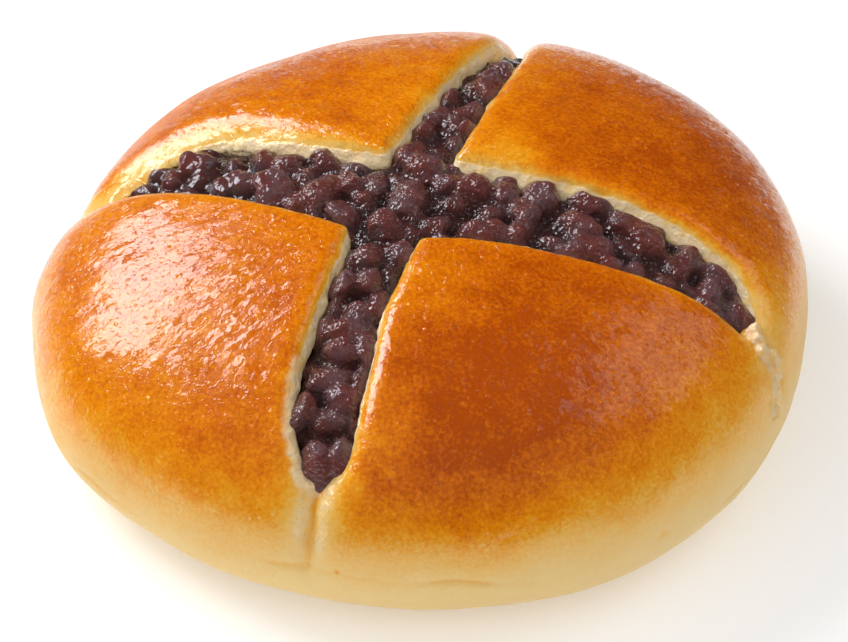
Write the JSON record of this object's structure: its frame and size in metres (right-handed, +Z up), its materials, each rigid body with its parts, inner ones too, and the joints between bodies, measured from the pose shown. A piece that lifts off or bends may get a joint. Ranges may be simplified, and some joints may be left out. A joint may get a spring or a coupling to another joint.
{
  "type": "red bean bun",
  "caption": "Round baked bun, cut crosswise through its glossy crown, with sweet red bean paste showing in the cut between the crust flaps.",
  "frame": {"origin": "middle of the bounding box's bottom, on the plane of the flat foot", "axes": "+Z up; the cuts run along X and Y; the picture's camera looks from -Y, 18 degrees to the right of it and 43 degrees above"},
  "size_m": [0.0986, 0.0988, 0.0341],
  "materials": {
    "baked_crust": "glossy egg-washed crust on the crown, matt cream dough on the cut faces and the side",
    "red_bean_paste": "wet, glossy, coarse with whole beans"
  },
  "bodies": {
    "root": {"bun_dough": "baked_crust", "bean_filling": "red_bean_paste"}
  },
  "joints": []
}
